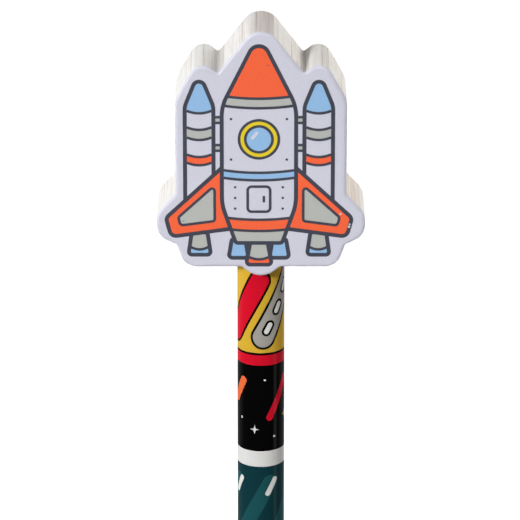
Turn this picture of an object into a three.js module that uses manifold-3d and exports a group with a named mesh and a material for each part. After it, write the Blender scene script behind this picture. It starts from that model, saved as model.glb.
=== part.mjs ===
// A round wooden pencil with a slab-shaped eraser pushed over its top end.
// Millimetres, +Z up. The origin is the writing point of the lead, the pencil's
// axis is the Z axis, and the printed face of the eraser looks along -Y.

import * as THREE from "three";
import { mergeVertices } from "three/addons/utils/BufferGeometryUtils.js";
import Module from "manifold-3d";

// Pencil
const PENCIL_LENGTH = 175; // writing point to flat top end
const LEAD_DIAMETER = 2.2;
const CASING_DIAMETER = 7.0; // the two glued slats, without the film
const WRAP_THICKNESS = 0.1; // printed film with its clear coat
const POINT_RADIUS = 0.3; // rounding of the writing point
const SHARPENING_HALF_ANGLE = THREE.MathUtils.degToRad(11.5);

// Glue lines inside the pencil
const LEAD_GLUE_GAP = 0.05; // round the lead, on the radius
const SLAT_GLUE_GAP = 0.06; // between the two slats
const WRAP_GLUE_GAP = 0.02; // under the film, on the radius

// Eraser slab: heights of the outline's corners before rounding, each measured from the
// one before it, from the foot edge upward
const SKIRT_RISE = 3.55; // foot edge to the crease under the wing
const WING_UNDERSIDE_RISE = 1.45; // crease to the lower corner of the wing tip
const WING_TIP_RISE = 3.6; // lower to upper corner of the wing tip
const WING_SLOPE_RISE = 3.0; // upper corner of the tip to the wing root
const TOWER_SIDE_RISE = 15.0; // wing root to the shoulder
const SHOULDER_RISE = 6.6; // shoulder to the peak of the side tower
const NOTCH_DROP = 2.5; // peak of the side tower down to the notch beside the nose
const NOSE_RISE = 8.4; // notch to the point where the slopes of the nose meet
const TONGUE_DROP = 2.35; // foot edge down to the point where the slopes of the tongue meet

// Eraser slab: full widths, symmetrical about the middle of the pencil
const TONGUE_ROOT_WIDTH = 5.9;
const FOOT_WIDTH = 23.1;
const CREASE_WIDTH = 25.6;
const WING_SPAN = 31.6;
const BODY_WIDTH = 25.9;
const PEAK_SPACING = 18.5;
const NOSE_ROOT_WIDTH = 13.0;

// Eraser slab: roundings of the outline's corners
const TONGUE_RADIUS = 3.2;
const TONGUE_ROOT_RADIUS = 1.0;
const FOOT_RADIUS = 2.6;
const CREASE_RADIUS = 0.4;
const WING_LOW_RADIUS = 2.6;
const WING_HIGH_RADIUS = 3.2;
const WING_ROOT_RADIUS = 1.0;
const SHOULDER_RADIUS = 4.0;
const PEAK_RADIUS = 2.2;
const NOTCH_RADIUS = 0.35;
const NOSE_RADIUS = 3.1;

// Eraser slab: thickness, bore and printed film
const SLAB_THICKNESS = 12;
const SLAB_EDGE_RADIUS = 0.35; // softening of the sliced edges
const BORE_DEPTH = 18; // foot edge to the seat of the pencil's end
const BORE_CLEARANCE = 0.08; // between film and bore, on the radius
const SEAT_CLEARANCE = 0.1; // between the pencil's end and the bore's end
const FACE_FILM_THICKNESS = 0.06;
const FACE_FILM_EDGE_RADIUS = 0.015;
const FACE_FILM_MARGIN = 0.1; // bare strip between the film and the softened edge

// Facets
const ROUND_SEGMENTS = 72;
const ARC_STEPS = 4; // half the number of steps in each corner of the outline
const EDGE_STEPS = 2;
const CUT_OVERRUN = 1; // how far a cutting body runs past what it cuts

const leadRadius = LEAD_DIAMETER / 2;
const grooveRadius = leadRadius + LEAD_GLUE_GAP;
const casingRadius = CASING_DIAMETER / 2;
const wrapInnerRadius = casingRadius + WRAP_GLUE_GAP;
const wrapOuterRadius = wrapInnerRadius + WRAP_THICKNESS;
const boreRadius = wrapOuterRadius + BORE_CLEARANCE;

const wasm = await Module();
wasm.setup();

// A closed three.js geometry as a solid that can be cut.
function solidFrom(geometry) {
  const bare = geometry.clone();
  bare.deleteAttribute("normal");
  bare.deleteAttribute("uv");
  const merged = mergeVertices(bare);
  const vertProperties = new Float32Array(merged.attributes.position.array);
  const triVerts = new Uint32Array(merged.index.array);
  return new wasm.Manifold(new wasm.Mesh({ numProp: 3, vertProperties, triVerts }));
}

// A cut solid as a three.js geometry again.
function geometryFrom(solid) {
  const mesh = solid.getMesh();
  const geometry = new THREE.BufferGeometry();
  geometry.setAttribute("position", new THREE.BufferAttribute(mesh.vertProperties, 3));
  geometry.setIndex(new THREE.BufferAttribute(mesh.triVerts, 1));
  geometry.computeVertexNormals();
  return geometry;
}

function namedMesh(name, geometry, color, roughness, metalness = 0) {
  const material = new THREE.MeshStandardMaterial({ color, roughness, metalness });
  const mesh = new THREE.Mesh(geometry, material);
  mesh.name = name;
  return mesh;
}

// A profile of [radius, height] points turned about the Z axis.
function turned(profile) {
  const points = profile.map(([radius, height]) => new THREE.Vector2(radius, height));
  return new THREE.LatheGeometry(points, ROUND_SEGMENTS).rotateX(Math.PI / 2);
}

// The height at which the sharpening cone reaches a radius. The cone is tangent to
// the rounded point, whose lowest point is at height 0.
function sharpenedHeight(radius) {
  const tangentRadius = POINT_RADIUS * Math.cos(SHARPENING_HALF_ANGLE);
  const tangentHeight = POINT_RADIUS * (1 - Math.sin(SHARPENING_HALF_ANGLE));
  return tangentHeight + (radius - tangentRadius) / Math.tan(SHARPENING_HALF_ANGLE);
}

// A ring between two radii, from the sharpening cone to the pencil's top end.
function sharpenedTube(innerRadius, outerRadius) {
  return turned([
    [innerRadius, sharpenedHeight(innerRadius)],
    [outerRadius, sharpenedHeight(outerRadius)],
    [outerRadius, PENCIL_LENGTH],
    [innerRadius, PENCIL_LENGTH],
    [innerRadius, sharpenedHeight(innerRadius)],
  ]);
}

// Lead: a rod with a rounded point that runs into the sharpening cone.
function makeLead() {
  const roundedPoint = [];
  const sweep = Math.PI / 2 - SHARPENING_HALF_ANGLE;
  for (let step = 0; step <= ARC_STEPS; step += 1) {
    const angle = (sweep * step) / ARC_STEPS;
    roundedPoint.push([POINT_RADIUS * Math.sin(angle), POINT_RADIUS * (1 - Math.cos(angle))]);
  }
  const rod = turned([
    ...roundedPoint,
    [leadRadius, sharpenedHeight(leadRadius)],
    [leadRadius, PENCIL_LENGTH],
    [0, PENCIL_LENGTH],
  ]);
  return namedMesh("graphite_lead", rod, 0x3a3a3d, 0.45, 0.2);
}

// Casing: two grooved half-round slats, glued face to face round the lead.
function makeSlat(name, side) {
  const casing = solidFrom(sharpenedTube(grooveRadius, casingRadius));
  const width = CASING_DIAMETER + 2 * CUT_OVERRUN;
  const depth = casingRadius + CUT_OVERRUN;
  const height = PENCIL_LENGTH + 2 * CUT_OVERRUN;
  const half = new THREE.BoxGeometry(width, depth, height);
  half.translate(0, side * (SLAT_GLUE_GAP / 2 + depth / 2), PENCIL_LENGTH / 2);
  return namedMesh(name, geometryFrom(casing.intersect(solidFrom(half))), 0xd9b183, 0.8);
}

// Film: a printed sleeve on the casing, cut off at both ends with the wood.
function makeWrap() {
  return namedMesh("print_wrap", sharpenedTube(wrapInnerRadius, wrapOuterRadius), 0x141113, 0.25);
}

// A closed outline of straight runs whose corners are rounded by tangent arcs. Each
// corner is [x, y, radius], anticlockwise. Two arcs that would meet on the run between
// them share it, each in proportion to what it asks for.
function roundedOutline(corners) {
  const bends = corners.map(([x, y, radius], index) => {
    const [previousX, previousY] = corners.at(index - 1);
    const [nextX, nextY] = corners[(index + 1) % corners.length];
    const back = new THREE.Vector2(previousX - x, previousY - y);
    const ahead = new THREE.Vector2(nextX - x, nextY - y);
    const turn = Math.PI - Math.acos(back.dot(ahead) / (back.length() * ahead.length()));
    const reach = radius * Math.tan(turn / 2);
    return { corner: new THREE.Vector2(x, y), back, ahead, turn, reach };
  });
  const outline = new THREE.Shape();
  bends.forEach(({ corner, back, ahead, turn, reach: wanted }, index) => {
    const roomBehind = back.length() / (wanted + bends.at(index - 1).reach);
    const roomAhead = ahead.length() / (wanted + bends[(index + 1) % bends.length].reach);
    const reach = wanted * Math.min(1, roomBehind, roomAhead);
    const arcRadius = reach / Math.tan(turn / 2);
    const convex = back.cross(ahead) < 0;
    const towardBack = back.clone().normalize();
    const towardAhead = ahead.clone().normalize();
    const middle = towardBack.clone().add(towardAhead).normalize();
    const centre = corner.clone().addScaledVector(middle, Math.hypot(arcRadius, reach));
    const startAngle = corner.clone().addScaledVector(towardBack, reach).sub(centre).angle();
    const endAngle = corner.clone().addScaledVector(towardAhead, reach).sub(centre).angle();
    outline.absarc(centre.x, centre.y, arcRadius, startAngle, endAngle, !convex);
  });
  return outline;
}

// The slab's outline seen from the front, with the foot edge at height 0.
function slabOutline() {
  const crease = SKIRT_RISE;
  const wingLow = crease + WING_UNDERSIDE_RISE;
  const wingHigh = wingLow + WING_TIP_RISE;
  const wingRoot = wingHigh + WING_SLOPE_RISE;
  const shoulder = wingRoot + TOWER_SIDE_RISE;
  const peak = shoulder + SHOULDER_RISE;
  const notch = peak - NOTCH_DROP;
  const tongue = [0, -TONGUE_DROP, TONGUE_RADIUS];
  const rightSide = [
    [TONGUE_ROOT_WIDTH / 2, 0, TONGUE_ROOT_RADIUS],
    [FOOT_WIDTH / 2, 0, FOOT_RADIUS],
    [CREASE_WIDTH / 2, crease, CREASE_RADIUS],
    [WING_SPAN / 2, wingLow, WING_LOW_RADIUS],
    [WING_SPAN / 2, wingHigh, WING_HIGH_RADIUS],
    [BODY_WIDTH / 2, wingRoot, WING_ROOT_RADIUS],
    [BODY_WIDTH / 2, shoulder, SHOULDER_RADIUS],
    [PEAK_SPACING / 2, peak, PEAK_RADIUS],
    [NOSE_ROOT_WIDTH / 2, notch, NOTCH_RADIUS],
  ];
  const nose = [0, notch + NOSE_RISE, NOSE_RADIUS];
  const leftSide = rightSide.map(([x, y, radius]) => [-x, y, radius]).reverse();
  return roundedOutline([tongue, ...rightSide, nose, ...leftSide]);
}

// The slab's outline as a plate with softened edges, from backY forward to frontY,
// drawn in by an inset.
function slabPlate(backY, frontY, edgeRadius, inset) {
  const plate = new THREE.ExtrudeGeometry(slabOutline(), {
    depth: backY - frontY - 2 * edgeRadius,
    curveSegments: ARC_STEPS,
    bevelThickness: edgeRadius,
    bevelSize: edgeRadius,
    bevelOffset: -edgeRadius - inset,
    bevelSegments: EDGE_STEPS,
  });
  return plate.rotateX(Math.PI / 2).translate(0, backY - edgeRadius, 0);
}

// Eraser: a slice of an extruded bar, bored from below through the tongue.
function makeEraser() {
  const slab = slabPlate(SLAB_THICKNESS / 2, -SLAB_THICKNESS / 2, SLAB_EDGE_RADIUS, 0);
  const mouth = -TONGUE_DROP - CUT_OVERRUN;
  const bore = new THREE.CylinderGeometry(boreRadius, boreRadius, BORE_DEPTH - mouth, ROUND_SEGMENTS);
  bore.rotateX(Math.PI / 2).translate(0, 0, (BORE_DEPTH + mouth) / 2);
  return namedMesh("eraser_body", geometryFrom(solidFrom(slab).subtract(solidFrom(bore))), 0xebe8ea, 0.6);
}

// Face film: the printed transfer on the front of the eraser.
function makeFaceFilm() {
  const backY = -SLAB_THICKNESS / 2;
  const inset = SLAB_EDGE_RADIUS + FACE_FILM_MARGIN;
  const film = slabPlate(backY, backY - FACE_FILM_THICKNESS, FACE_FILM_EDGE_RADIUS, inset);
  return namedMesh("face_film", film, 0xd2d0de, 0.3);
}

const pencil = new THREE.Group();
pencil.add(makeLead(), makeSlat("casing_slat_front", -1), makeSlat("casing_slat_back", 1), makeWrap());

const topper = new THREE.Group();
topper.position.z = PENCIL_LENGTH + SEAT_CLEARANCE - BORE_DEPTH;
topper.add(makeEraser(), makeFaceFilm());

const pencilWithTopper = new THREE.Group();
pencilWithTopper.add(pencil, topper);

export default pencilWithTopper;
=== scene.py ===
import math

import bmesh
import bpy
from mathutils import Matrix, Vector, noise
from mathutils.geometry import delaunay_2d_cdt


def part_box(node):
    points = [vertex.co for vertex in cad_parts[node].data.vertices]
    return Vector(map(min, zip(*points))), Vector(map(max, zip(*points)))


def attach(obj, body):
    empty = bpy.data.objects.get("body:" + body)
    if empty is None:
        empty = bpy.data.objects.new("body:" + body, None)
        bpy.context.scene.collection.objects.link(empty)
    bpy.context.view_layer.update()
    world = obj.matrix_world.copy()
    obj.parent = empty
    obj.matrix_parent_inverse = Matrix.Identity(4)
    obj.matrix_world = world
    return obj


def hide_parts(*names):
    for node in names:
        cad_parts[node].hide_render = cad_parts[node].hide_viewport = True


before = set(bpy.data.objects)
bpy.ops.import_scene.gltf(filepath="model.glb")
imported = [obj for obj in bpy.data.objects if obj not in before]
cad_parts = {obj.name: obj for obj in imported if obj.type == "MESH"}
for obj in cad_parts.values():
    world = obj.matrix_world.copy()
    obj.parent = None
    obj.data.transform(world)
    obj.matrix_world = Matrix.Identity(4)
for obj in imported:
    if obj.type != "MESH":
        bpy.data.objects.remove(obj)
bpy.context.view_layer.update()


# The lead is a fired rod of graphite and clay, glued into the groove of the casing.
# It was sharpened together with the wood, so its point carries the same cone, with
# the fine rings that the sharpener's blade leaves.
MM = 0.001
TURN_STEPS = 144
POINT_RADIUS = 0.3
POINT_STEPS = 8
CONE_ANGLE = math.radians(11.5)
SHARP_ANGLE = math.radians(40)
SLIVER_WIDTH = 0.0001
MERGE_DISTANCE = 0.00005
GRAPHITE_DARK = (0.018, 0.018, 0.020, 1)
GRAPHITE_LIGHT = (0.060, 0.060, 0.066, 1)


def box_mm(node):
    """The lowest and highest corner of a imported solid, in millimetres."""
    low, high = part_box(node)
    return low / MM, high / MM


def cone_height(radius):
    """The height at which the sharpened cone, tangent to the rounded point, has a radius."""
    tangent_height = POINT_RADIUS * (1 - math.sin(CONE_ANGLE))
    return tangent_height + (radius - POINT_RADIUS * math.cos(CONE_ANGLE)) / math.tan(CONE_ANGLE)


def new_piece(name, points, faces, materials=(), material_of=None):
    """A mesh piece from points in millimetres, shaded smooth except at sharp edges.
    Each face can have its own place in the list of materials."""
    mesh = bpy.data.meshes.new(name)
    mesh.from_pydata([Vector(point) * MM for point in points], [], faces)
    for material in materials:
        mesh.materials.append(material)
    if material_of:
        mesh.polygons.foreach_set("material_index", material_of)
    shape = bmesh.new()
    shape.from_mesh(mesh)
    bmesh.ops.dissolve_degenerate(shape, dist=SLIVER_WIDTH * MM, edges=shape.edges)
    bmesh.ops.remove_doubles(shape, verts=shape.verts, dist=MERGE_DISTANCE * MM)
    bmesh.ops.recalc_face_normals(shape, faces=shape.faces)
    shape.to_mesh(mesh)
    shape.free()
    mesh.shade_smooth()
    mesh.set_sharp_from_angle(angle=SHARP_ANGLE)
    piece = bpy.data.objects.new(name, mesh)
    bpy.context.scene.collection.objects.link(piece)
    return piece


def new_material(name, roughness, **shader_values):
    """A principled material, with the values given set on the shader's own sockets."""
    material = bpy.data.materials.new(name)
    material.use_nodes = True
    shader = material.node_tree.nodes["Principled BSDF"]
    shader.inputs["Roughness"].default_value = roughness
    for socket, value in shader_values.items():
        shader.inputs[socket.replace("_", " ")].default_value = value
    return material, shader


def add_node(material, kind, inputs=None, **settings):
    """A node with its settings, and each input either set to a value or wired to a socket."""
    node = material.node_tree.nodes.new(kind)
    for setting, value in settings.items():
        setattr(node, setting, value)
    for socket, value in (inputs or {}).items():
        if isinstance(value, bpy.types.NodeSocket):
            material.node_tree.links.new(value, node.inputs[socket])
        else:
            node.inputs[socket].default_value = value
    return node


def grain(material, per_mm, detail=3.0, roughness=0.5):
    """Noise with its own count of grains per millimetre along X, Y and Z."""
    place = add_node(material, "ShaderNodeTexCoord").outputs["Object"]
    scale = [count / MM for count in per_mm]
    spread = add_node(material, "ShaderNodeMapping", {"Vector": place, "Scale": scale})
    settings = {"Vector": spread.outputs[0], "Scale": 1.0, "Detail": detail, "Roughness": roughness}
    return add_node(material, "ShaderNodeTexNoise", settings).outputs["Fac"]


def ramp(material, factor, stops):
    """A colour ramp from (place, colour) stops, driven by a factor."""
    node = add_node(material, "ShaderNodeValToRGB", {"Fac": factor})
    elements = node.color_ramp.elements
    while len(elements) < len(stops):
        elements.new(1.0)
    for element, (place, colour) in zip(elements, stops):
        element.position = place
        element.color = colour
    return node.outputs["Color"]


def wire(material, output, node, socket):
    """Links an output to an input of a node, named by its socket."""
    material.node_tree.links.new(output, node.inputs[socket])


def roughen(material, shader, height, depth_mm, strength):
    """Bumps a surface by a height pattern of a given depth."""
    inputs = {"Height": height, "Distance": depth_mm * MM, "Strength": strength}
    wire(material, add_node(material, "ShaderNodeBump", inputs).outputs[0], shader, "Normal")


lead_high = box_mm("graphite_lead")[1]
lead_radius = lead_high.x
pencil_top = lead_high.z
lead_profile = []
for step in range(POINT_STEPS + 1):
    swing = (math.pi / 2 - CONE_ANGLE) * step / POINT_STEPS
    lead_profile.append((POINT_RADIUS * math.sin(swing), POINT_RADIUS * (1 - math.cos(swing))))
lead_profile += [(lead_radius, cone_height(lead_radius)), (lead_radius, pencil_top), (0, pencil_top)]


def turned_piece(name, profile, steps):
    """A piece turned about the pencil's axis from a profile of (radius, height)."""
    turns = [math.tau * step / steps for step in range(steps)]
    points = [(r * math.sin(t), -r * math.cos(t), z) for t in turns for r, z in profile]
    count = len(profile)
    faces = []
    for step in range(steps):
        here, there = step * count, (step + 1) % steps * count
        faces += [(here + i, there + i, there + i + 1, here + i + 1) for i in range(count - 1)]
    return new_piece(name, points, faces)


lead = turned_piece("lead", lead_profile, TURN_STEPS)
graphite, graphite_shader = new_material("graphite", 0.42, Metallic=0.45, Specular_IOR_Level=0.6)
turning_marks = grain(graphite, (0.3, 0.3, 14.0))
wire(graphite, ramp(graphite, turning_marks, [(0.3, GRAPHITE_DARK), (0.75, GRAPHITE_LIGHT)]),
     graphite_shader, "Base Color")
roughen(graphite, graphite_shader, turning_marks, 0.012, 0.6)
lead.data.materials.append(graphite)
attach(lead, "pencil")
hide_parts("graphite_lead")


# The casing is two half-round slats of pale softwood, each with a groove for the lead,
# glued face to face. The sharpened cone cuts across their grain, and the glue line runs
# down both sides of it and across the sawn top end.
SLAT_STEPS = 72
SLAT_GLUE_GAP = 0.06
LEAD_GLUE_GAP = 0.05
RING_SPACING = 0.9
RING_DRAW = 0.05
WAVE_PERIOD = 0.314
FIBRE_STRENGTH = 0.75
WOOD_PALE = (0.63, 0.45, 0.26, 1)
WOOD_WARM = (0.54, 0.35, 0.18, 1)
WOOD_FIBRE_DARK = (0.78, 0.72, 0.66, 1)
WOOD_FIBRE_LIGHT = (1, 1, 1, 1)

casing_radius = box_mm("casing_slat_back")[1].x
groove_radius = lead_radius + LEAD_GLUE_GAP


def make_slat(name, side, ring_turn):
    """A half-round slat on one side of the glue line, cut to the sharpened cone."""
    profile = [
        (groove_radius, cone_height(groove_radius)),
        (casing_radius, cone_height(casing_radius)),
        (casing_radius, pencil_top),
        (groove_radius, pencil_top),
    ]
    count = len(profile)
    points = []
    for step in range(SLAT_STEPS + 1):
        for radius, height in profile:
            edge = math.asin(SLAT_GLUE_GAP / 2 / radius)
            swing = edge + (math.pi - 2 * edge) * step / SLAT_STEPS
            points.append((radius * math.cos(swing), side * radius * math.sin(swing), height))
    faces = [tuple(range(count)), tuple(range(len(points) - count, len(points)))]
    for here in range(0, len(points) - count, count):
        for i in range(count):
            ahead = (i + 1) % count
            faces.append((here + i, here + count + i, here + count + ahead, here + ahead))
    slat = new_piece(name, points, faces)
    slat.data.materials.append(make_wood(f"{name}_wood", ring_turn))
    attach(slat, "pencil")
    return slat


def make_wood(name, ring_turn):
    """Softwood with yearly rings turned to an angle, and fibres along the pencil."""
    wood, shader = new_material(name, 0.62, Specular_IOR_Level=0.3)
    place = add_node(wood, "ShaderNodeTexCoord").outputs["Object"]
    turned = add_node(wood, "ShaderNodeMapping", {
        "Vector": place,
        "Rotation": (0.01, 0.02, ring_turn),
        "Scale": (1 / MM, 1 / MM, RING_DRAW / MM),
    })
    rings = add_node(wood, "ShaderNodeTexWave", {
        "Vector": turned.outputs[0],
        "Scale": WAVE_PERIOD / RING_SPACING,
        "Distortion": 3.0,
        "Detail": 2.0,
    })
    year_colour = ramp(wood, rings.outputs["Fac"], [(0.25, WOOD_PALE), (0.95, WOOD_WARM)])
    fibres = grain(wood, (11.0, 11.0, 0.5))
    fibre_colour = ramp(wood, fibres, [(0.30, WOOD_FIBRE_DARK), (0.56, WOOD_FIBRE_LIGHT)])
    both = add_node(wood, "ShaderNodeMix", data_type="RGBA", blend_type="MULTIPLY")
    both.inputs["Factor"].default_value = FIBRE_STRENGTH
    wire(wood, year_colour, both, "A")
    wire(wood, fibre_colour, both, "B")
    wire(wood, both.outputs["Result"], shader, "Base Color")
    roughen(wood, shader, fibres, 0.015, 0.5)
    return wood


slat_front = make_slat("slat_front", -1, 0.5)
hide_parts("casing_slat_front")
slat_back = make_slat("slat_back", 1, -0.9)
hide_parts("casing_slat_back")


# The wrap is a printed film under a clear gloss coat, rolled on hot round the casing and
# cut back with the wood by the sharpener, so its lower edge is slightly ragged. Its print
# repeats along the pencil in yellow, black and deep teal fields, with white rings.
FILM_STEPS = 120
FILM_THICKNESS = 0.1
RAGGED_DEPTH = 0.3
TEARS_PER_RADIAN = 2.6
TEAR_SEED = 4.0
TRIANGULATION_TOLERANCE = 1e-7
EDGE_TOLERANCE = 1e-4
CLOSE_POINTS = 1e-3
CURVE_TOLERANCE = 0.004

BAR_SLANT = math.radians(62)
YELLOW_FIELD = 24.0
YELLOW_BAR_TURN = 1.45
RUNG_PLACES = (-4.2, -0.6, 3.0)
RUNG_LENGTH = 2.0
RUNG_WIDTH = 0.8
HEM_RING = 1.7
BLACK_FIELD = 14.2
SPARK_POINTS = 4
SPARK_WAIST = 0.32
WHITE_RING = 2.6
TEAL_FIELD = 15.0
TEAL_BARS = 4
TEAL_BAR_TURN = 1.2
TEAL_BAR_LENGTH = 13.4
TEAL_BAR_WIDTH = 2.3
DASH_HEIGHT = 11.6
DASH_LENGTH = 3.4
DASH_WIDTH = 0.85
YELLOW_ABOVE_FOOT = 7.0
KEY_LINE = 0.36
INK_MOTTLE = 0.95
BORE_DEPTH = 18.0
SEAT_CLEARANCE = 0.1


def srgb(red, green, blue):
    """A colour from its display values of 0 to 255, as the renderer's linear values."""
    shares = [value / 255 for value in (red, green, blue)]
    return tuple(s / 12.92 if s <= 0.04045 else ((s + 0.055) / 1.055) ** 2.4 for s in shares) + (1.0,)


WRAP_INKS = {
    "wrap_black": srgb(6, 5, 5),
    "wrap_yellow": srgb(208, 167, 52),
    "wrap_red": srgb(206, 18, 41),
    "wrap_grey": srgb(160, 156, 147),
    "wrap_white": srgb(218, 217, 213),
    "wrap_orange": srgb(226, 104, 56),
    "wrap_teal": srgb(15, 53, 59),
    "wrap_pale_teal": srgb(27, 78, 82),
}


def arc(centre, radius, start, end):
    """Points on an arc between two angles, both ends included, as close as the curve needs."""
    steps = max(3, math.ceil(abs(end - start) / math.sqrt(8 * CURVE_TOLERANCE / radius)))
    turns = [start + (end - start) * step / steps for step in range(steps + 1)]
    return [(centre[0] + radius * math.cos(t), centre[1] + radius * math.sin(t)) for t in turns]


def bar(centre, length, width, slant=BAR_SLANT):
    """The outline of a straight bar with round ends."""
    reach = (length - width) / 2
    along = (math.cos(slant) * reach, math.sin(slant) * reach)
    head = (centre[0] + along[0], centre[1] + along[1])
    tail = (centre[0] - along[0], centre[1] - along[1])
    quarter = math.pi / 2
    return (arc(head, width / 2, slant - quarter, slant + quarter)
            + arc(tail, width / 2, slant + quarter, slant + 3 * quarter))


def dot(centre, radius):
    """The outline of a round dot."""
    return arc(centre, radius, 0, math.tau)[:-1]


def spark(centre, radius):
    """The outline of a small star with straight points."""
    outline = []
    for step in range(2 * SPARK_POINTS):
        reach = radius if step % 2 == 0 else radius * SPARK_WAIST
        turn = math.pi / 2 + math.pi * step / SPARK_POINTS
        outline.append((centre[0] + reach * math.cos(turn), centre[1] + reach * math.sin(turn)))
    return outline


def distinct(outline):
    """The points of a closed outline, without those that all but repeat the one before."""
    points = [Vector(point) for point in outline]
    return [point for i, point in enumerate(points) if (point - points[i - 1]).length > CLOSE_POINTS]


def ink_cells(ground, shapes, lines=()):
    """Cuts a flat ground into triangles along the outlines of shapes that are printed one
    over the other, and along extra lines. Gives the points, and each cell with its ink."""
    points, faces, inks = [], [], []
    for ink, outline in [ground, *shapes]:
        corners = distinct(outline)
        if sum(corners[i - 1].cross(corners[i]) for i in range(len(corners))) < 0:
            corners.reverse()
        faces.append(list(range(len(points), len(points) + len(corners))))
        points += corners
        inks.append(ink)
    edges = []
    for start, end in lines:
        edges.append((len(points), len(points) + 1))
        points += [Vector(start), Vector(end)]
    cut_up = delaunay_2d_cdt(points, edges, faces, 0, TRIANGULATION_TOLERANCE, True)
    flat, _, cells, _, _, owners = cut_up
    inked = [(cell, inks[max(own)]) for cell, own in zip(cells, owners) if 0 in own]
    used = sorted({corner for cell, _ in inked for corner in cell})
    place = {corner: index for index, corner in enumerate(used)}
    cells = [(tuple(place[corner] for corner in cell), ink) for cell, ink in inked]
    return [flat[corner] for corner in used], cells


def border(cells):
    """The outer edge of a sheet of cells, as the run of its points, anticlockwise."""
    runs = {}
    for cell, _ in cells:
        for i in range(len(cell)):
            runs[cell[i - 1], cell[i]] = True
    following = {start: end for start, end in runs if (end, start) not in runs}
    first = min(following)
    edge = [first]
    while following[edge[-1]] != first:
        edge.append(following[edge[-1]])
    return edge


film_radius = box_mm("print_wrap")[1].x
half_turn = math.pi * film_radius
film_foot = cone_height(film_radius)
topper_foot = pencil_top + SEAT_CLEARANCE - BORE_DEPTH


def field(low, high):
    """A band of print right round the pencil."""
    return [(-half_turn, low), (half_turn, low), (half_turn, high), (-half_turn, high)]


def round_the_film(ink, outline):
    """A shape with its two copies a whole turn away, so that it runs on over the seam."""
    shifts = (-2 * half_turn, 0, 2 * half_turn)
    return [(ink, [(u + shift, z) for u, z in outline]) for shift in shifts]


def keyed_bar(ink, centre, length, width):
    """A bar of ink with a black key line round it."""
    outer = bar(centre, length + 2 * KEY_LINE, width + 2 * KEY_LINE)
    return round_the_film("wrap_black", outer) + round_the_film(ink, bar(centre, length, width))


def along_bar(centre, distance):
    """The place at a distance from a bar's centre, along its slant."""
    return (centre[0] + distance * math.cos(BAR_SLANT), centre[1] + distance * math.sin(BAR_SLANT))


def wrap_repeat(top):
    """One repeat of the print, downward from the top of its yellow field."""
    quarter = half_turn / 2
    hem = top - YELLOW_FIELD
    shapes = [("wrap_yellow", field(hem, top))]
    bars = [
        ("wrap_grey", 9.8, 16.5, 3.3),
        ("wrap_red", 14.6, 13.0, 2.9),
        ("wrap_grey", 14.2, 15.0, 3.3),
        ("wrap_red", 9.4, 12.0, 2.9),
    ]
    for index, (ink, drop, length, width) in enumerate(bars):
        centre = ((index - YELLOW_BAR_TURN) * quarter, top - drop)
        shapes += keyed_bar(ink, centre, length, width)
        if ink == "wrap_grey":
            for distance in RUNG_PLACES:
                shapes += keyed_bar("wrap_white", along_bar(centre, distance), RUNG_LENGTH, RUNG_WIDTH)
    shapes.append(("wrap_black", field(hem, hem + HEM_RING + KEY_LINE)))
    shapes.append(("wrap_red", field(hem, hem + HEM_RING)))
    night = hem - BLACK_FIELD
    shapes.append(("wrap_black", field(night, hem)))
    streaks = [("wrap_red", 3.0, 5.6, 8.0, 1.15), ("wrap_orange", -3.9, 4.4, 5.0, 1.3)]
    sparks = [("wrap_yellow", 5.0, 8.8, 1.0), ("wrap_white", -1.0, 10.6, 0.75)]
    far_stars = [(0.6, 2.4, 0.16), (-3.4, 9.0, 0.2), (2.2, 11.9, 0.18), (-5.4, 12.2, 0.15)]
    for middle in (0, half_turn):
        for ink, u, drop, length, width in streaks:
            shapes += round_the_film(ink, bar((u + middle, hem - drop), length, width))
        for ink, u, drop, radius in sparks:
            shapes += round_the_film(ink, spark((u + middle, hem - drop), radius))
        for u, drop, radius in far_stars:
            shapes += round_the_film("wrap_white", dot((u + middle, hem - drop), radius))
    shapes.append(("wrap_white", field(night - WHITE_RING, night)))
    sea = night - WHITE_RING - TEAL_FIELD
    shapes.append(("wrap_teal", field(sea, sea + TEAL_FIELD)))
    for index in range(TEAL_BARS):
        centre = ((index - TEAL_BAR_TURN) * quarter, sea + TEAL_FIELD / 2)
        dash_centre = (centre[0] - quarter / 2, sea + DASH_HEIGHT)
        shapes += round_the_film("wrap_pale_teal", bar(centre, TEAL_BAR_LENGTH, TEAL_BAR_WIDTH))
        shapes += round_the_film("wrap_white", bar(dash_centre, DASH_LENGTH, DASH_WIDTH))
    shapes.append(("wrap_white", field(sea - WHITE_RING, sea)))
    return shapes


repeat_height = YELLOW_FIELD + BLACK_FIELD + TEAL_FIELD + 2 * WHITE_RING
wrap_shapes = []
repeat_top = topper_foot + YELLOW_ABOVE_FOOT + repeat_height
while repeat_top > film_foot:
    wrap_shapes += wrap_repeat(repeat_top)
    repeat_top -= repeat_height

fold_places = [half_turn * (2 * step / FILM_STEPS - 1) for step in range(FILM_STEPS + 1)]
ragged_edge = []
for u in fold_places:
    swing = u / film_radius
    where = (TEARS_PER_RADIAN * math.sin(swing), TEARS_PER_RADIAN * math.cos(swing), TEAR_SEED)
    tear = noise.noise(Vector(where))
    ragged_edge.append((u, film_foot + RAGGED_DEPTH * max(0.0, tear)))
film_outline = ragged_edge + [(u, pencil_top) for u in reversed(fold_places)]
fold_lines = [((u, film_foot - 1), (u, pencil_top + 1)) for u in fold_places[1:-1]]
film_flat, film_cells = ink_cells(("wrap_black", film_outline), wrap_shapes, fold_lines)


def film_ink(name, colour, roughness, **shader_values):
    """Printed ink, very slightly mottled, on a film that isn't quite even."""
    ink, shader = new_material(name, roughness, **shader_values)
    dull = tuple(channel * INK_MOTTLE for channel in colour[:3]) + (1,)
    mottled = ramp(ink, grain(ink, (5.0, 5.0, 5.0)), [(0.35, dull), (0.65, colour)])
    wire(ink, mottled, shader, "Base Color")
    roughen(ink, shader, grain(ink, (0.7, 0.7, 0.35), 1.0), 0.015, 0.3)
    return ink


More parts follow.
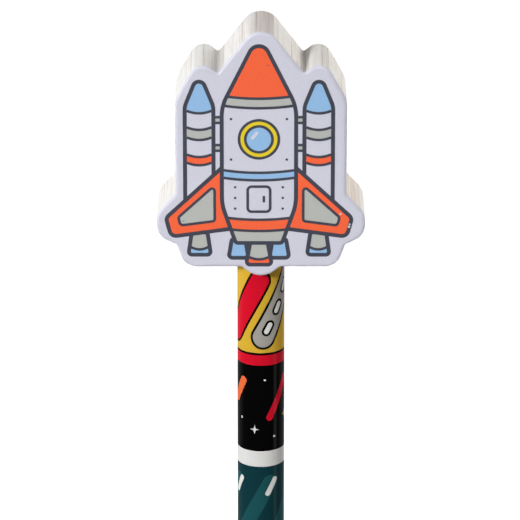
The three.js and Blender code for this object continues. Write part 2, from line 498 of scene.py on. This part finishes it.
def inked_piece(name, points, cells, inks):
    """A piece of printed film, each face with the ink of its cell."""
    names = list(inks)
    material_of = [names.index(ink) for _, ink in cells]
    return new_piece(name, points, [cell for cell, _ in cells], inks.values(), material_of)


def on_film(u, z, radius):
    """The place round the pencil of a point of the flat print."""
    swing = u / film_radius
    return (radius * math.sin(swing), -radius * math.cos(swing), z)


film_inner = film_radius - FILM_THICKNESS
bevel_drop = film_foot - cone_height(film_inner)
film_points = [on_film(u, z, film_radius) for u, z in film_flat]
film_faces = list(film_cells)
film_border = border(film_cells)
inner_low = len(film_points)
inner_high = inner_low + FILM_STEPS + 1
film_points += [on_film(u, z - bevel_drop, film_inner) for u, z in ragged_edge]
film_points += [on_film(u, pencil_top, film_inner) for u in fold_places]
for step in range(FILM_STEPS):
    low_edge, high_edge = [], []
    for corner in film_border:
        u, z = film_flat[corner]
        if fold_places[step] - EDGE_TOLERANCE < u < fold_places[step + 1] + EDGE_TOLERANCE:
            if z > pencil_top - EDGE_TOLERANCE:
                high_edge.append((u, corner))
            elif z < film_foot + RAGGED_DEPTH + EDGE_TOLERANCE:
                low_edge.append((u, corner))
    low_run = [corner for _, corner in sorted(low_edge)]
    high_run = [corner for _, corner in sorted(high_edge)]
    low, high = inner_low + step, inner_high + step
    film_faces.append(((*low_run, low + 1, low), "wrap_black"))
    film_faces.append(((*high_run, high + 1, high), "wrap_black"))
    film_faces.append(((low, low + 1, high + 1, high), "wrap_black"))

wrap_inks = {
    ink: film_ink(ink, colour, 0.5, Coat_Weight=0.12, Coat_Roughness=0.06, Specular_IOR_Level=0.0)
    for ink, colour in WRAP_INKS.items()
}
wrap = inked_piece("wrap_film", film_points, film_faces, wrap_inks)
film_skin = (film_radius - FILM_THICKNESS / 100) * MM
round_normals = [Vector((0, 0, 0))] * len(wrap.data.loops)
for polygon in wrap.data.polygons:
    corners = [wrap.data.vertices[i].co for i in polygon.vertices]
    outside = all(math.hypot(corner.x, corner.y) > film_skin for corner in corners)
    for loop, corner in zip(polygon.loop_indices, corners):
        from_axis = Vector((corner.x, corner.y, 0)).normalized()
        round_normals[loop] = from_axis if outside else polygon.normal
wrap.data.normals_split_custom_set(round_normals)
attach(wrap, "pencil")
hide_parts("print_wrap")


# The topper is a slice off an extruded bar of white vinyl eraser. Its side walls keep
# fine streaks from the die, which run through the slab from face to face. A blind bore
# from below, through the tongue, grips the pencil's end.
SLAB_THICKNESS = 12.0
SLAB_EDGE_RADIUS = 0.35
EDGE_STEPS = 4
WALL_STATIONS = 9
OUTLINE_SPACING = 0.13
SPACING_TOLERANCE = 1e-9
BORE_CLEARANCE = 0.08
CUT_OVERRUN = 1.0
BORE_STEPS = 128
BORE_MARGIN = 1.001
FACE_TOLERANCE = 0.01
FLAT_FACING = 0.9999
WALL_SLOT, FACE_SLOT, BORE_SLOT, BACK_SLOT = range(4)
STREAK_DEPTHS = ((0.022, 0.9), (0.012, 2.6))
STREAK_LEVEL = 0.4
STREAK_DRAW = 0.06
VINYL_WHITE = srgb(242, 240, 237)
VINYL_CREAM = srgb(232, 227, 219)
VINYL_TAN = srgb(198, 182, 163)
VINYL_CUT = srgb(222, 220, 219)
VINYL_SCORED = srgb(213, 210, 207)
# A lavender tint for the front face and its rounded rim: painted cool light on the white vinyl.
VINYL_FACE_PAINTED_COOL = srgb(213, 212, 224)
CLEAN = (1, 1, 1, 1)
# Painted shade: the grey that tints the nose's top wall.
NOSE_PAINTED_SHADE = (0.82, 0.78, 0.78, 1)
# Painted shade: the grey that darkens the notches beside the nose.
NOTCH_PAINTED_SHADE = (0.80, 0.80, 0.80, 1)
STAINED = (0.91, 0.81, 0.73, 1)
# Where the nose's top wall is tinted grey as painted shade, with a sharp edge on its right.
NOSE_SHADE_HEIGHTS = (33.5, 35.0)
NOSE_SHADE_STOPS = [(-2.3, CLEAN), (-0.9, NOSE_PAINTED_SHADE), (1.88, NOSE_PAINTED_SHADE), (1.98, CLEAN)]
# Where the notches are darkened as painted shade, more towards their bottom.
NOTCH_SHADE_HEIGHTS = (32.4, 30.9)
NOTCH_SHADE_STOPS = [(-7.6, CLEAN), (-7.0, NOTCH_PAINTED_SHADE), (-5.9, NOTCH_PAINTED_SHADE), (-5.3, CLEAN),
              (5.3, CLEAN), (5.9, NOTCH_PAINTED_SHADE), (7.0, NOTCH_PAINTED_SHADE), (7.6, CLEAN)]
WING_HEIGHTS = (16.0, 12.0)
WING_WEAR = [(13.0, CLEAN), (13.3, STAINED), (13.5, CLEAN), (13.75, STAINED),
             (14.3, STAINED), (14.6, CLEAN), (14.9, STAINED), (15.4, CLEAN)]

SLAB_TONGUE = (0.0, -2.35, 3.2)
SLAB_CORNERS = [
    (2.95, 0.0, 1.0),
    (11.55, 0.0, 2.6),
    (12.8, 3.55, 0.4),
    (15.8, 5.0, 2.6),
    (15.8, 8.6, 3.2),
    (12.95, 11.6, 1.0),
    (12.95, 26.6, 4.0),
    (9.25, 33.2, 2.2),
    (6.5, 30.7, 0.35),
]
SLAB_NOSE = (0.0, 39.1, 3.1)


def rounded_outline(corners):
    """A closed outline, anticlockwise, through corners of (x, y, rounding radius). Where two
    roundings want more than the run between them, they share it in proportion."""
    count = len(corners)
    places = [Vector(corner[:2]) for corner in corners]
    backs = [places[i - 1] - places[i] for i in range(count)]
    aheads = [places[(i + 1) % count] - places[i] for i in range(count)]
    turns = [math.pi - back.angle(ahead) for back, ahead in zip(backs, aheads)]
    wanted = [corner[2] * math.tan(turn / 2) for corner, turn in zip(corners, turns)]
    outline = []
    for i in range(count):
        share_back = backs[i].length / (wanted[i] + wanted[i - 1])
        share_ahead = aheads[i].length / (wanted[i] + wanted[(i + 1) % count])
        reach = wanted[i] * min(1, share_back, share_ahead)
        bend = reach / math.tan(turns[i] / 2)
        middle = (backs[i].normalized() + aheads[i].normalized()).normalized()
        centre = places[i] + middle * math.hypot(bend, reach)
        first = places[i] + backs[i].normalized() * reach - centre
        swing = math.copysign(turns[i], -backs[i].cross(aheads[i]))
        start = math.atan2(first.y, first.x)
        outline += arc(centre, bend, start, start + swing)
    return outline


def evenly_spaced(outline, spacing):
    """A closed outline with its points at even steps."""
    corners = [Vector(point) for point in outline]
    runs = [(corners[i - 1], corners[i]) for i in range(len(corners))]
    total = sum((end - start).length for start, end in runs)
    step = total / round(total / spacing)
    points, wait = [], 0.0
    for start, end in runs:
        length = (end - start).length
        while wait < length - SPACING_TOLERANCE:
            points.append(start.lerp(end, wait / length))
            wait += step
        wait -= length
    return points


def outward(outline):
    """The outward direction at each point of an anticlockwise outline."""
    count = len(outline)
    runs = [outline[(i + 1) % count] - outline[i - 1] for i in range(count)]
    return [Vector((run.y, -run.x)).normalized() for run in runs]


def mirrored(corners):
    """Corners of (x, y, rounding radius) on the other side of the middle, in turn."""
    return [(-x, y, radius) for x, y, radius in reversed(corners)]


slab_corners = [SLAB_TONGUE, *SLAB_CORNERS, SLAB_NOSE, *mirrored(SLAB_CORNERS)]
slab_outline = evenly_spaced(rounded_outline(slab_corners), OUTLINE_SPACING)
slab_outward = outward(slab_outline)


def slab_stations():
    """(depth, inset) of the outline's copies from the front face to the back face."""
    front = -SLAB_THICKNESS / 2
    rim = []
    for step in range(EDGE_STEPS + 1):
        swing = math.pi / 2 * step / EDGE_STEPS
        rim.append((SLAB_EDGE_RADIUS * (1 - math.cos(swing)), SLAB_EDGE_RADIUS * (1 - math.sin(swing))))
    run = SLAB_THICKNESS - 2 * SLAB_EDGE_RADIUS
    wall = [(SLAB_EDGE_RADIUS + run * step / WALL_STATIONS, 0.0) for step in range(1, WALL_STATIONS)]
    back_rim = [(SLAB_THICKNESS - depth, inset) for depth, inset in reversed(rim)]
    return [(front + depth, inset) for depth, inset in rim + wall + back_rim]


slab_points = []
stations = slab_stations()
for depth, inset in stations:
    for point, away in zip(slab_outline, slab_outward):
        streak = 0.0
        for height, per_mm in STREAK_DEPTHS:
            where = Vector((point.x * per_mm, point.y * per_mm, depth * STREAK_DRAW))
            streak += height * (noise.noise(where) - STREAK_LEVEL)
        place = point + away * (min(streak, 0.0) - inset)
        slab_points.append((place.x, depth, place.y + topper_foot))
around = len(slab_outline)
slab_faces = [tuple(range(around)), tuple(range(len(slab_points) - around, len(slab_points)))]
for row in range(len(stations) - 1):
    for i in range(around):
        here, ahead = row * around + i, row * around + (i + 1) % around
        slab_faces.append((here, ahead, ahead + around, here + around))
slab = new_piece("eraser_slab", slab_points, slab_faces)

bore_radius = film_radius + BORE_CLEARANCE
bore_mouth = topper_foot + SLAB_TONGUE[1] - CUT_OVERRUN
bore_end = topper_foot + BORE_DEPTH
bore_profile = [(0, bore_mouth), (bore_radius, bore_mouth), (bore_radius, bore_end), (0, bore_end)]
bore = turned_piece("bore_cutter", bore_profile, BORE_STEPS)
cut = slab.modifiers.new("bore", "BOOLEAN")
cut.operation = "DIFFERENCE"
cut.solver = "EXACT"
cut.object = bore
drilled = bpy.data.meshes.new_from_object(slab.evaluated_get(bpy.context.evaluated_depsgraph_get()))
slab.modifiers.clear()
slab.data = drilled
bpy.data.objects.remove(bore)


def make_vinyl(name, stops, streaks_per_mm, depth_mm):
    """White vinyl that light sinks into, with streaks drawn out along one direction."""
    vinyl, shader = new_material(name, 0.55, Subsurface_Weight=0.25, Subsurface_Scale=0.002,
                                 Subsurface_Radius=(1.0, 0.9, 0.8), Specular_IOR_Level=0.35)
    streaks = grain(vinyl, streaks_per_mm, 5.0, 0.7)
    wire(vinyl, ramp(vinyl, streaks, stops), shader, "Base Color")
    roughen(vinyl, shader, streaks, depth_mm, 0.5)
    return vinyl


def shade_and_stain(vinyl, heights, stops):
    """Tints the vinyl by stops of (x, tint), more and more from the first of two heights above the foot
    to the second. It paints shade on the nose and in the notches, and real stains on the wing."""
    start, full = heights
    shader = vinyl.node_tree.nodes["Principled BSDF"]
    colour = shader.inputs["Base Color"].links[0].from_socket
    place = add_node(vinyl, "ShaderNodeTexCoord").outputs["Object"]
    axes = add_node(vinyl, "ShaderNodeSeparateXYZ", {"Vector": place}).outputs
    height = add_node(vinyl, "ShaderNodeMapRange", {
        "Value": axes["Z"],
        "From Min": (topper_foot + start) * MM,
        "From Max": (topper_foot + full) * MM,
    })
    first, last = stops[0][0], stops[-1][0]
    across = add_node(vinyl, "ShaderNodeMapRange", {
        "Value": axes["X"],
        "From Min": first * MM,
        "From Max": last * MM,
    })
    tints = [((x - first) / (last - first), tint) for x, tint in stops]
    shade_and_stain_tint = add_node(vinyl, "ShaderNodeMix", data_type="RGBA", blend_type="MULTIPLY")
    wire(vinyl, height.outputs["Result"], shade_and_stain_tint, "Factor")
    wire(vinyl, colour, shade_and_stain_tint, "A")
    wire(vinyl, ramp(vinyl, across.outputs["Result"], tints), shade_and_stain_tint, "B")
    wire(vinyl, shade_and_stain_tint.outputs["Result"], shader, "Base Color")


die_streaks = [(0.35, VINYL_TAN), (0.43, VINYL_CREAM), (0.53, VINYL_WHITE)]
knife_streaks = [(0.34, VINYL_SCORED), (0.58, VINYL_CUT)]
wall_vinyl = make_vinyl("eraser_wall", die_streaks, (2.2, 0.03, 2.2), 0.03)
# Painted shade: the nose's top wall is tinted grey.
shade_and_stain(wall_vinyl, NOSE_SHADE_HEIGHTS, NOSE_SHADE_STOPS)
# Painted shade: the notches beside the nose are darkened towards their bottom.
shade_and_stain(wall_vinyl, NOTCH_SHADE_HEIGHTS, NOTCH_SHADE_STOPS)
shade_and_stain(wall_vinyl, WING_HEIGHTS, WING_WEAR)
# The front face and its rounded rim are tinted lavender as painted cool light.
face_vinyl = make_vinyl("eraser_face", [(0.3, VINYL_CUT), (0.4, VINYL_FACE_PAINTED_COOL)], (1.2, 1.2, 1.2), 0.01)
bore_vinyl = make_vinyl("eraser_bore", die_streaks, (2.0, 2.0, 0.1), 0.02)
back_vinyl = make_vinyl("eraser_back", knife_streaks, (0.03, 1.0, 0.8), 0.012)
slab.data.materials.clear()
for vinyl in (wall_vinyl, face_vinyl, bore_vinyl, back_vinyl):
    slab.data.materials.append(vinyl)
edge_start = (SLAB_THICKNESS / 2 - SLAB_EDGE_RADIUS) * MM
face_depth = (SLAB_THICKNESS / 2 - FACE_TOLERANCE) * MM
bore_side = bore_radius * MM * BORE_MARGIN
bore_top = (bore_end + FACE_TOLERANCE) * MM
for polygon in slab.data.polygons:
    centre = polygon.center
    flat = abs(polygon.normal.y) > FLAT_FACING
    in_bore = math.hypot(centre.x, centre.y) < bore_side and centre.z < bore_top
    polygon.use_smooth = not flat or abs(centre.y) < face_depth
    if in_bore and not flat:
        polygon.material_index = BORE_SLOT
    elif centre.y < -edge_start:
        polygon.material_index = FACE_SLOT
    elif centre.y > edge_start:
        polygon.material_index = BACK_SLOT
    else:
        polygon.material_index = WALL_SLOT
slab.data.set_sharp_from_angle(angle=SHARP_ANGLE)
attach(slab, "topper")
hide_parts("eraser_body")


# The face film is a smooth printed transfer, pressed hot onto the slab's front face.
# It carries a plain drawing of a rocket with two side tanks, swept fins and a row of
# engine bells, in flat inks with a charcoal key line.
FILM_INSET = 0.45
FACE_FILM_THICKNESS = 0.06
PRINT_SHIFT = -0.3
KEY_WIDTH = 0.62
FINE_KEY_WIDTH = 0.42
INK_OVERLAP = 0.015
HOOP_STEPS = 14
HOOP_SAG = 0.4
ROUNDED_TURN = 0.3
LEAST_COSINE = 0.5
TANK_PLACE = 9.0
TANK_HALF_WIDTH = 2.15
SMALL_BELL_PLACE = 3.1
INK_CHIPS = ((12.35, 8.55, 0.17), (13.65, 6.5, 0.2), (13.75, 6.9, 0.14), (4.7, 5.1, 0.14))
INK_SPECKS = ((1.4, 32.0, 0.09), (-11.4, 7.4, 0.08))

# The film's white ground is tinted lavender: painted cool light on the front face.
FACE_INKS = {
    "face_white": srgb(212, 211, 223),
    "face_charcoal": srgb(66, 68, 80),
    "face_orange": srgb(250, 104, 62),
    "face_grey": srgb(186, 187, 181),
    "face_blue": srgb(150, 190, 228),
    "face_yellow": srgb(232, 206, 40),
}


def swell(outline, distance):
    """An anticlockwise outline grown outward with round corners, or drawn in if below 0."""
    points = distinct(outline)
    grown = []
    for i, point in enumerate(points):
        before = point - points[i - 1]
        after = points[(i + 1) % len(points)] - point
        turn = math.atan2(before.cross(after), before.dot(after))
        start = math.atan2(-before.x, before.y)
        if distance > 0 and turn > ROUNDED_TURN:
            grown += arc(point, distance, start, start + turn)
        else:
            reach = distance / max(LEAST_COSINE, math.cos(turn / 2))
            heading = start + turn / 2
            grown.append((point.x + reach * math.cos(heading), point.y + reach * math.sin(heading)))
    return grown


def keyed(ink, outline, width=KEY_WIDTH):
    """A shape of ink with a key line along its outline."""
    return [("face_charcoal", swell(outline, width / 2)), (ink, swell(outline, -width / 2))]


def inner_edge(outline):
    """The edge to which bands are printed inside a keyed outline, a hair over its key line."""
    return swell(outline, INK_OVERLAP - KEY_WIDTH / 2)


def fine_stroke(points):
    """The outline of a fine key line through some points."""
    line = [Vector(point) for point in points]
    left, right = [], []
    for i, point in enumerate(line):
        run = line[min(i + 1, len(line) - 1)] - line[max(i - 1, 0)]
        side = Vector((-run.y, run.x)).normalized() * FINE_KEY_WIDTH / 2
        left.append(point + side)
        right.append(point - side)
    return left + right[::-1]


def trimmed(outline, body):
    """The part of an outline that lies inside an anticlockwise body without hollows."""
    kept = [Vector(point) for point in outline]
    for i in range(len(body)):
        start = Vector(body[i - 1])
        run = Vector(body[i]) - start
        sides = [run.cross(point - start) for point in kept]
        inside = []
        for j, point in enumerate(kept):
            if sides[j - 1] * sides[j] < 0:
                inside.append(kept[j - 1].lerp(point, sides[j - 1] / (sides[j - 1] - sides[j])))
            if sides[j] >= 0:
                inside.append(point)
        kept = inside
    return kept


def hoop(body, height):
    """A line across a round body, sagging in the middle as it is seen from above."""
    left = min(point[0] for point in body)
    right = max(point[0] for point in body)
    shares = [step / HOOP_STEPS for step in range(HOOP_STEPS + 1)]
    return [(left + (right - left) * t, height - 4 * HOOP_SAG * t * (1 - t)) for t in shares]


def seam(body, height):
    """A fine key line across a round body."""
    return [("face_charcoal", trimmed(fine_stroke(hoop(body, height)), body))]


def band(ink, body, low, high):
    """A band of ink round a body, with a fine key line along both edges."""
    outline = hoop(body, low) + hoop(body, high)[::-1]
    shapes = [(ink, trimmed(outline, body))] + seam(body, low) + seam(body, high)
    return [(colour, shape) for colour, shape in shapes if shape]


def side_tank(middle):
    """A slim white tank with a pointed blue cap, a grey band and an orange one."""
    outline = rounded_outline([
        (middle - TANK_HALF_WIDTH, 7.0, 0.4),
        (middle + TANK_HALF_WIDTH, 7.0, 0.4),
        (middle + TANK_HALF_WIDTH, 25.6, 3.0),
        (middle, 31.0, 0.9),
        (middle - TANK_HALF_WIDTH, 25.6, 3.0),
    ])
    shapes = keyed("face_white", outline)
    body = inner_edge(outline)
    shapes += band("face_blue", body, 24.9, 40.0)
    shapes += band("face_grey", body, 20.7, 22.3)
    shapes += band("face_orange", body, 16.7, 18.0)
    return shapes


def bell(ink, middle, low, high, half_low, half_high, ring=None):
    """An engine bell, which can have a ring of another ink round its mouth."""
    outline = rounded_outline([
        (middle - half_low, low, 0.5),
        (middle + half_low, low, 0.5),
        (middle + half_high, high, 0.5),
        (middle - half_high, high, 0.5),
    ])
    return keyed(ink, outline) + (band(ring, inner_edge(outline), low - 2, low + 1.25) if ring else [])


def fins():
    """Two swept fins of orange, each with a grey panel."""
    outline = [(4.0, 6.2, 0.5), (13.3, 4.9, 1.0), (14.1, 7.9, 1.0), (4.0, 17.4, 0.5)]
    panel = [(6.7, 7.4, 0.4), (11.9, 6.7, 0.5), (12.2, 8.0, 0.5), (6.7, 13.1, 0.4)]
    shapes = []
    layers = [(outline, "face_orange", KEY_WIDTH), (panel, "face_grey", FINE_KEY_WIDTH)]
    for corners, ink, width in layers:
        shapes += keyed(ink, rounded_outline(corners), width)
        shapes += keyed(ink, rounded_outline(mirrored(corners)), width)
    return shapes


def hull():
    """A pointed hull with an orange cap and skirt, a round window and a hatch."""
    right = [(3.5, 3.9, 0.5), (5.6, 10.0, 8.0), (5.6, 25.6, 7.0)]
    outline = rounded_outline(right + [(0.0, 36.9, 1.5)] + mirrored(right))
    shapes = keyed("face_white", outline)
    body = inner_edge(outline)
    shapes += band("face_orange", body, 27.2, 45.0)
    shapes += band("face_grey", body, 25.7, 27.2)
    shapes += band("face_blue", body, 14.3, 15.5)
    shapes += band("face_grey", body, 0.0, 6.2)
    shapes += band("face_orange", body, 6.2, 8.0)
    shapes += keyed("face_yellow", dot((0, 20.4), 3.0), FINE_KEY_WIDTH)
    shapes += keyed("face_blue", dot((0, 20.4), 2.05), FINE_KEY_WIDTH)
    shapes += [("face_white", bar((-0.65, 21.0), 1.5, 0.5, math.radians(50)))]
    hatch = rounded_outline([(-1.7, 8.9, 0.6), (1.7, 8.9, 0.6), (1.7, 12.9, 0.6), (-1.7, 12.9, 0.6)])
    shapes += keyed("face_white", hatch, FINE_KEY_WIDTH)
    shapes += [("face_charcoal", bar((0.75, 10.9), 1.1, 0.4, math.pi / 2))]
    for side in (-1, 1):
        shapes += [("face_charcoal", dot((3.6 * side, height), 0.2)) for height in (9.4, 11.1, 12.8)]
        shapes += [("face_charcoal", dot((4.2 * side, height), 0.2)) for height in (17.2, 23.6)]
    return shapes


def struts():
    """The short struts that hold the tanks to the hull."""
    shapes = []
    for low in (18.6, 23.0):
        outline = [(-8.0, low), (8.0, low), (8.0, low + 0.9), (-8.0, low + 0.9)]
        shapes += keyed("face_grey", outline, FINE_KEY_WIDTH)
    return shapes


face_shapes = []
for middle in (-TANK_PLACE, TANK_PLACE):
    face_shapes += bell("face_grey", middle, 2.0, 5.6, 1.7, 1.2, "face_blue")
face_shapes += struts() + side_tank(-TANK_PLACE) + side_tank(TANK_PLACE) + fins()
for middle in (-SMALL_BELL_PLACE, SMALL_BELL_PLACE):
    face_shapes += bell("face_blue", middle, 1.5, 4.6, 1.5, 1.0)
face_shapes += bell("face_grey", 0.0, 0.4, 4.6, 1.95, 1.2, "face_orange") + hull()
for x, z, radius in INK_CHIPS:
    face_shapes.append(("face_white", dot((x, z), radius)))
for x, z, radius in INK_SPECKS:
    face_shapes.append(("face_charcoal", dot((x, z), radius)))
face_shapes = [(ink, [(p[0] + PRINT_SHIFT, p[1]) for p in outline]) for ink, outline in face_shapes]
face_outline = swell(slab_outline, -FILM_INSET)
face_flat, face_cells = ink_cells(("face_white", face_outline), face_shapes)
face_front = -SLAB_THICKNESS / 2 - FACE_FILM_THICKNESS
face_points = [(x, face_front, z + topper_foot) for x, z in face_flat]
face_border = border(face_cells)
back_edge = range(len(face_points), len(face_points) + len(face_border))
face_points += [(face_points[i][0], -SLAB_THICKNESS / 2, face_points[i][2]) for i in face_border]
face_faces = list(face_cells)
face_faces.append((tuple(back_edge), "face_white"))
for i in range(len(face_border)):
    edge_face = (face_border[i - 1], face_border[i], back_edge[i], back_edge[i - 1])
    face_faces.append((edge_face, "face_white"))

face_inks = {
    ink: film_ink(ink, colour, 0.42, Specular_IOR_Level=0.4) for ink, colour in FACE_INKS.items()
}
face_film = inked_piece("face_film_print", face_points, face_faces, face_inks)
face_film.data.shade_flat()
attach(face_film, "topper")
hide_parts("face_film")


# The setting: six soft light panels, the photograph's view from a little above, and a pale
# floor that curves up far away into a round sweep. The floor is only seen, and a card just
# under it, which glows behind the object only, gives the light from below.
FLOOR_REACH = 3000.0
SWEEP_RADIUS = 800.0
SWEEP_HEIGHT = 3000.0
CARD_DROP = 1.0
PAPER_COLOUR = (0.55, 0.55, 0.55, 1)
FLOOR_GLOW_RUN = (0.03, 0.28)
CARD_GLOW_RUN = (0.0, 0.25)
FLOOR_NEAR_GLOW = 0.25
CARD_NEAR_GLOW = 0.0
FAR_GLOW = 1.0
ROOM_COLOUR = (0.03, 0.03, 0.03, 1)
PANEL_SPREAD = math.radians(40)
PANEL_WHITE = (1, 1, 1)
PANEL_WARM = (1.0, 0.96, 0.91)
PANEL_COOL = (0.97, 0.98, 1.0)
PANELS = [
    ("panel_right", 138, 12, 0.85, 0.4, 0.30, PANEL_WARM),
    ("panel_left", -105, 10, 0.85, 0.4, 0.24, PANEL_WHITE),
    ("panel_back", 180, 55, 0.9, 0.4, 0.11, PANEL_WHITE),
    ("panel_top", 35, 45, 0.9, 0.5, 0.18, PANEL_WHITE),
    ("panel_front", -30, 23, 0.95, 0.10, 0.40, PANEL_COOL),
    ("panel_low", 75, -25, 0.27, 0.09, 0.0023, PANEL_WHITE),
]
CAMERA_DISTANCE = 0.65
CAMERA_ELEVATION = math.radians(19.5)
CAMERA_AIM = Vector((-0.14, 0.0, topper_foot - 1.0)) * MM
CAMERA_PIXELS_FOCAL = 4234
IMAGE_PIXELS = 520
SENSOR = 36.0

sweep_centre = (FLOOR_REACH - SWEEP_RADIUS, SWEEP_RADIUS)
sweep_profile = [(0, 0), *arc(sweep_centre, SWEEP_RADIUS, -math.pi / 2, 0), (FLOOR_REACH, SWEEP_HEIGHT)]
floor = turned_piece("floor", sweep_profile, TURN_STEPS)
card_signs = [(-1, -1), (1, -1), (1, 1), (-1, 1)]
card_corners = [(x * FLOOR_REACH, y * FLOOR_REACH, -CARD_DROP) for x, y in card_signs]
card = new_piece("bounce_card", card_corners, [(0, 1, 2, 3)])


def lay_paper(sheet, distance_from_pencil, glow_run, near_glow):
    """Covers a sheet with paper that glows more over a run of distances from the pencil,
    which is given in metres."""
    paper, shader = new_material(f"{sheet.name}_paper", 0.9, Specular_IOR_Level=0.1,
                                 Base_Color=PAPER_COLOUR, Emission_Color=(1, 1, 1, 1))
    place = add_node(paper, "ShaderNodeTexCoord").outputs["Object"]
    glow = add_node(paper, "ShaderNodeMapRange", {
        "Value": distance_from_pencil(paper, place),
        "From Min": glow_run[0],
        "From Max": glow_run[1],
        "To Min": near_glow,
        "To Max": FAR_GLOW,
    })
    wire(paper, glow.outputs["Result"], shader, "Emission Strength")
    sheet.data.materials.append(paper)


def all_round(paper, place):
    """The distance from the pencil's point, on every side."""
    return add_node(paper, "ShaderNodeVectorMath", {0: place}, operation="LENGTH").outputs["Value"]


def behind(paper, place):
    """The distance behind the pencil, which is below 0 in front of it."""
    return add_node(paper, "ShaderNodeSeparateXYZ", {"Vector": place}).outputs["Y"]


lay_paper(floor, all_round, FLOOR_GLOW_RUN, FLOOR_NEAR_GLOW)
floor.visible_diffuse = False
floor.visible_glossy = False
floor.visible_shadow = False
lay_paper(card, behind, CARD_GLOW_RUN, CARD_NEAR_GLOW)
card.visible_camera = False


def soft_panel(name, azimuth, elevation, distance, size, power, colour):
    """A square light panel that faces the topper, with its azimuth counted from the front.
    Angles are in degrees, lengths in metres and the power in watts."""
    turn, rise = math.radians(azimuth), math.radians(elevation)
    toward = Vector((math.sin(turn) * math.cos(rise), -math.cos(turn) * math.cos(rise), math.sin(rise)))
    light = bpy.data.lights.new(name, "AREA")
    light.size = size
    light.spread = PANEL_SPREAD
    light.energy = power
    light.color = colour
    panel = bpy.data.objects.new(name, light)
    panel.location = CAMERA_AIM + toward * distance
    panel.rotation_euler = (-toward).to_track_quat("-Z", "Y").to_euler()
    panel.visible_camera = False
    bpy.context.scene.collection.objects.link(panel)


for panel_values in PANELS:
    soft_panel(*panel_values)
world = bpy.data.worlds.new("studio")
world.use_nodes = True
world.node_tree.nodes["Background"].inputs["Color"].default_value = ROOM_COLOUR
bpy.context.scene.world = world
bpy.context.scene.view_settings.view_transform = "Standard"

camera_data = bpy.data.cameras.new("camera")
camera_data.sensor_width = SENSOR
camera_data.lens = CAMERA_PIXELS_FOCAL / IMAGE_PIXELS * SENSOR
camera = bpy.data.objects.new("camera", camera_data)
away = Vector((0, -math.cos(CAMERA_ELEVATION), math.sin(CAMERA_ELEVATION)))
camera.location = CAMERA_AIM + away * CAMERA_DISTANCE
camera.rotation_euler = (-away).to_track_quat("-Z", "Y").to_euler()
bpy.context.scene.collection.objects.link(camera)
bpy.context.scene.camera = camera
